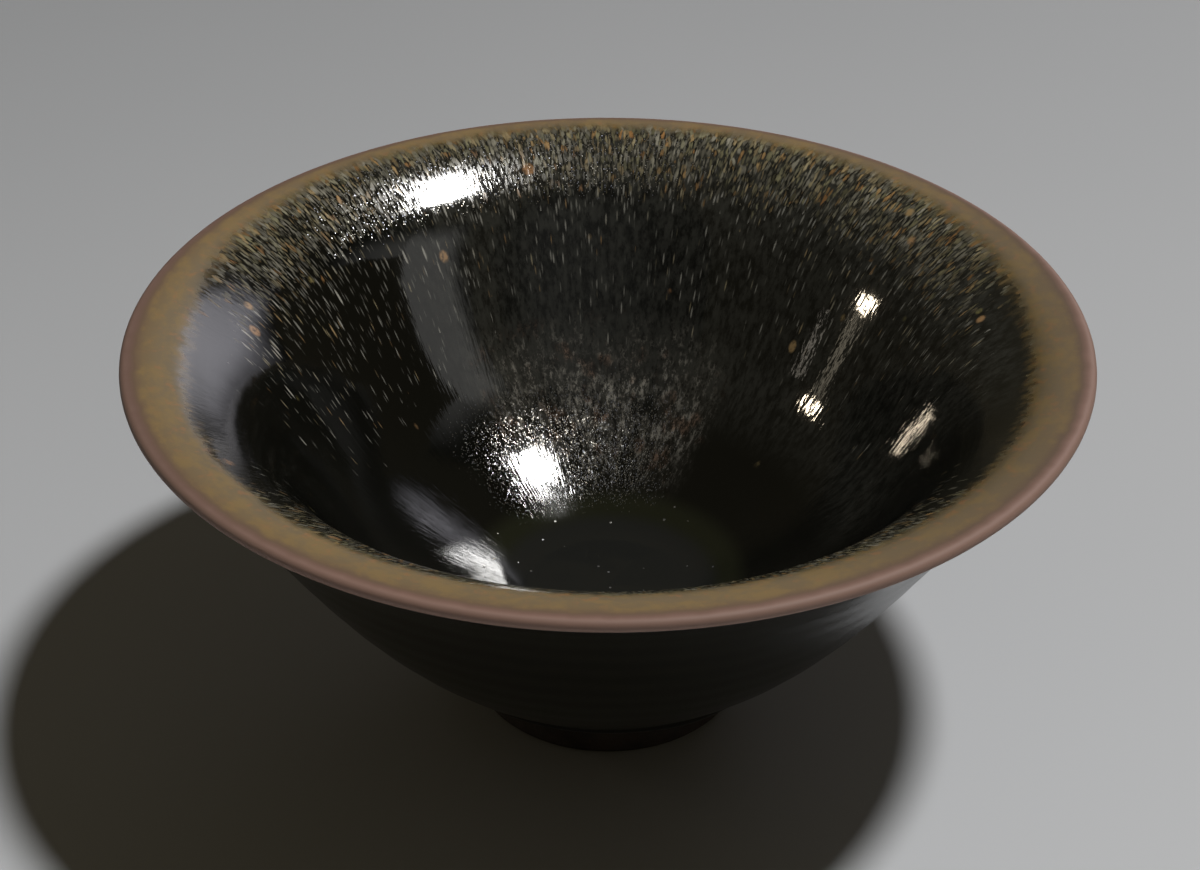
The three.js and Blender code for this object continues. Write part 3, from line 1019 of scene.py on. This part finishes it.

# %% [markdown]
# ## Floor, camera and light
#
# The floor is pale, plain and matt. Its colour carries painted light and shade: it grows a little
# lighter to the front and the right, because one even grey under a single lamp looks like a
# cut-out. The camera looks down at 33 degrees through a short telephoto lens, so the rim is an
# ellipse and the foot hides in the bowl's own shadow.

# %% Floor
FLOOR_REACH = 3.0
# The floor's colour in painted shade and in painted light, and how fast the painted light grows to
# the right and fades to the back.
FLOOR_IN_PAINTED_SHADE = (0.250, 0.258, 0.273, 1)
FLOOR_IN_PAINTED_LIGHT = (0.768, 0.786, 0.820, 1)
FLOOR_ROUGHNESS = 0.75
PAINTED_LIGHT_TO_RIGHT = 0.45
PAINTED_LIGHT_TO_BACK = -1.35
CLOUDINESS = 0.04
corners = [(x * FLOOR_REACH, y * FLOOR_REACH, 0) for x, y in ((-1, -1), (1, -1), (1, 1), (-1, 1))]
floor_mesh = bpy.data.meshes.new("floor")
floor_mesh.from_pydata(corners, [], [(0, 1, 2, 3)])
floor = bpy.data.objects.new("floor", floor_mesh)
bpy.context.scene.collection.objects.link(floor)
paper = Finish("pale_floor")
to_right, to_back, _ = paper.parts(paper.place)
# Painted light and shade: the floor's colour runs from its painted shade at the back and left to its
# painted light at the front and right.
lit = paper.maths("MULTIPLY_ADD", to_back, PAINTED_LIGHT_TO_BACK, 0.5)
lit = paper.maths("MULTIPLY_ADD", to_right, PAINTED_LIGHT_TO_RIGHT, lit)
lit = paper.maths("MULTIPLY_ADD", paper.noise(paper.place, 9.0, 3.0), CLOUDINESS, lit)
floor_colour = paper.blend(lit, FLOOR_IN_PAINTED_SHADE, FLOOR_IN_PAINTED_LIGHT)
floor_mesh.materials.append(paper.finish(Base_Color=floor_colour, Roughness=FLOOR_ROUGHNESS))
print("the floor is", 2 * FLOOR_REACH, "m wide")

# %% Camera
CAMERA_PLACE = (-0.0010, -0.3318, 0.2524)
CAMERA_TILT = 57.27
FOCAL_LENGTH = 90
camera_data = bpy.data.cameras.new("camera")
camera_data.lens = FOCAL_LENGTH
camera_data.clip_start = 0.01
camera = bpy.data.objects.new("camera", camera_data)
camera.location = CAMERA_PLACE
camera.rotation_euler = (math.radians(CAMERA_TILT), 0, 0)
bpy.context.scene.collection.objects.link(camera)
bpy.context.scene.camera = camera
print("the camera looks down at", round(90 - CAMERA_TILT, 2), "degrees")

# %% Lamps
LAMP_DISTANCE = 2.7


def direction(azimuth, elevation):
    """The unit vector towards a place in the room: azimuth from +X, elevation from the floor."""
    a, e = np.radians(azimuth), np.radians(elevation)
    return np.stack([np.cos(a) * np.cos(e), np.sin(a) * np.cos(e), np.sin(e)], -1)


def lamp(name, azimuth, elevation, width, height, radiance, colour, lights_floor=True):
    """An oval lamp that faces the bowl, its width and height as angles in degrees. Its power
    is radiance times area times pi."""
    light = bpy.data.lights.new(name, "AREA")
    light.shape = "ELLIPSE"
    light.size = LAMP_DISTANCE * math.radians(width)
    light.size_y = LAMP_DISTANCE * math.radians(height)
    light.energy = radiance * math.pi * math.pi / 4 * light.size * light.size_y
    light.color = colour
    holder = bpy.data.objects.new(name, light)
    holder.location = direction(azimuth, elevation) * LAMP_DISTANCE
    holder.rotation_euler = (math.radians(90 - elevation), 0, math.radians(azimuth + 90))
    holder.visible_diffuse = lights_floor
    holder.visible_camera = False
    bpy.context.scene.collection.objects.link(holder)
    print(name, round(light.energy, 2), "W")


lamp("key", 11.4, 69.1, 7, 7, 208, (1.0, 0.99, 0.97))
lamp("warm_lamp", 171.0, 25.1, 4, 4, 90, (1.0, 0.84, 0.62), lights_floor=False)

# %% [markdown]
# Gloss shows the whole room, so a bowl lit by bare lamps looks like plastic. Pale screens stand
# round it, each a patch of a sphere whose glow fades towards most of its edges. They are seen
# only in reflections, and light nothing themselves.

# %% Screens
SCREEN_DISTANCE = 3.5
SCREEN_COLUMNS = 41
SCREEN_ROWS = 21


def screen(name, azimuths, elevations, radiance, colour, fades):
    """A patch of sphere between two azimuths and two elevations. Its glow is a smoothstep over
    a share of its size at its first and last azimuth, and at its lowest and highest edge. An
    edge whose share is zero stays sharp."""
    u, v = np.meshgrid(np.linspace(0, 1, SCREEN_COLUMNS), np.linspace(0, 1, SCREEN_ROWS))
    azimuth = azimuths[0] + (azimuths[1] - azimuths[0]) * u
    elevation = elevations[0] + (elevations[1] - elevations[0]) * v
    points = (direction(azimuth, elevation) * SCREEN_DISTANCE).reshape(-1, 3)
    edges = [smoothstep(d / fade) for d, fade in zip((u, 1 - u, v, 1 - v), fades) if fade]
    glow = np.prod(edges, axis=0)
    number = np.arange(u.size).reshape(u.shape)
    faces = np.stack([number[:-1, :-1], number[:-1, 1:], number[1:, 1:], number[1:, :-1]], -1)
    mesh = bpy.data.meshes.new(name)
    mesh.from_pydata(points, [], faces.reshape(-1, 4).tolist())
    mesh.attributes.new("glow", "FLOAT", "POINT").data.foreach_set("value", glow.ravel())
    f = Finish(name)
    strength = f.times(f.attribute("glow"), radiance)
    mesh.materials.append(f.finish(Base_Color=(0, 0, 0, 1), Specular_IOR_Level=0,
                                   Emission_Color=(*colour, 1), Emission_Strength=strength))
    holder = bpy.data.objects.new(name, mesh)
    bpy.context.scene.collection.objects.link(holder)
    holder.visible_camera = holder.visible_diffuse = holder.visible_shadow = False


screen("window", (38, 86), (0, 37), 2.3, (0.93, 0.915, 1.0), (0.35, 0.3, 0.7, 0.15))
screen("side_wall", (-36, -12), (18, 54), 0.85, (1.0, 0.99, 0.95), (0.35, 0, 0.1, 0.3))
screen("side_wall_above", (-12, 24), (39, 54), 0.45, (1.0, 0.99, 0.95), (0, 0.9, 0, 0.8))
screen("far_wall", (-130, -46), (24, 84), 0.10, (0.97, 0.99, 1.0), (0.75, 0.25, 0.1, 0.6))
screen("lamp_shade", (171.5, 175.5), (16.5, 22.5), 2.0, (1.0, 0.88, 0.66), (0.4, 0.4, 0.2, 0.1))
screen("lamp_beside", (-176.5, -173.3), (21.5, 25), 2.6, (1.0, 0.90, 0.75), (0.4, 0.4, 0.3, 0.3))
print("screens stand", SCREEN_DISTANCE, "m away")

# %% The room's own dim glow
ROOM_COLOUR = (1.0, 0.85, 0.53, 1)
ROOM_STRENGTH = 0.050
world = bpy.data.worlds.new("studio")
world.use_nodes = True
background = world.node_tree.nodes["Background"]
background.inputs["Color"].default_value = ROOM_COLOUR
background.inputs["Strength"].default_value = ROOM_STRENGTH
bpy.context.scene.world = world
bpy.context.scene.view_settings.view_transform = "Standard"
print("the room glows at a strength of", ROOM_STRENGTH)
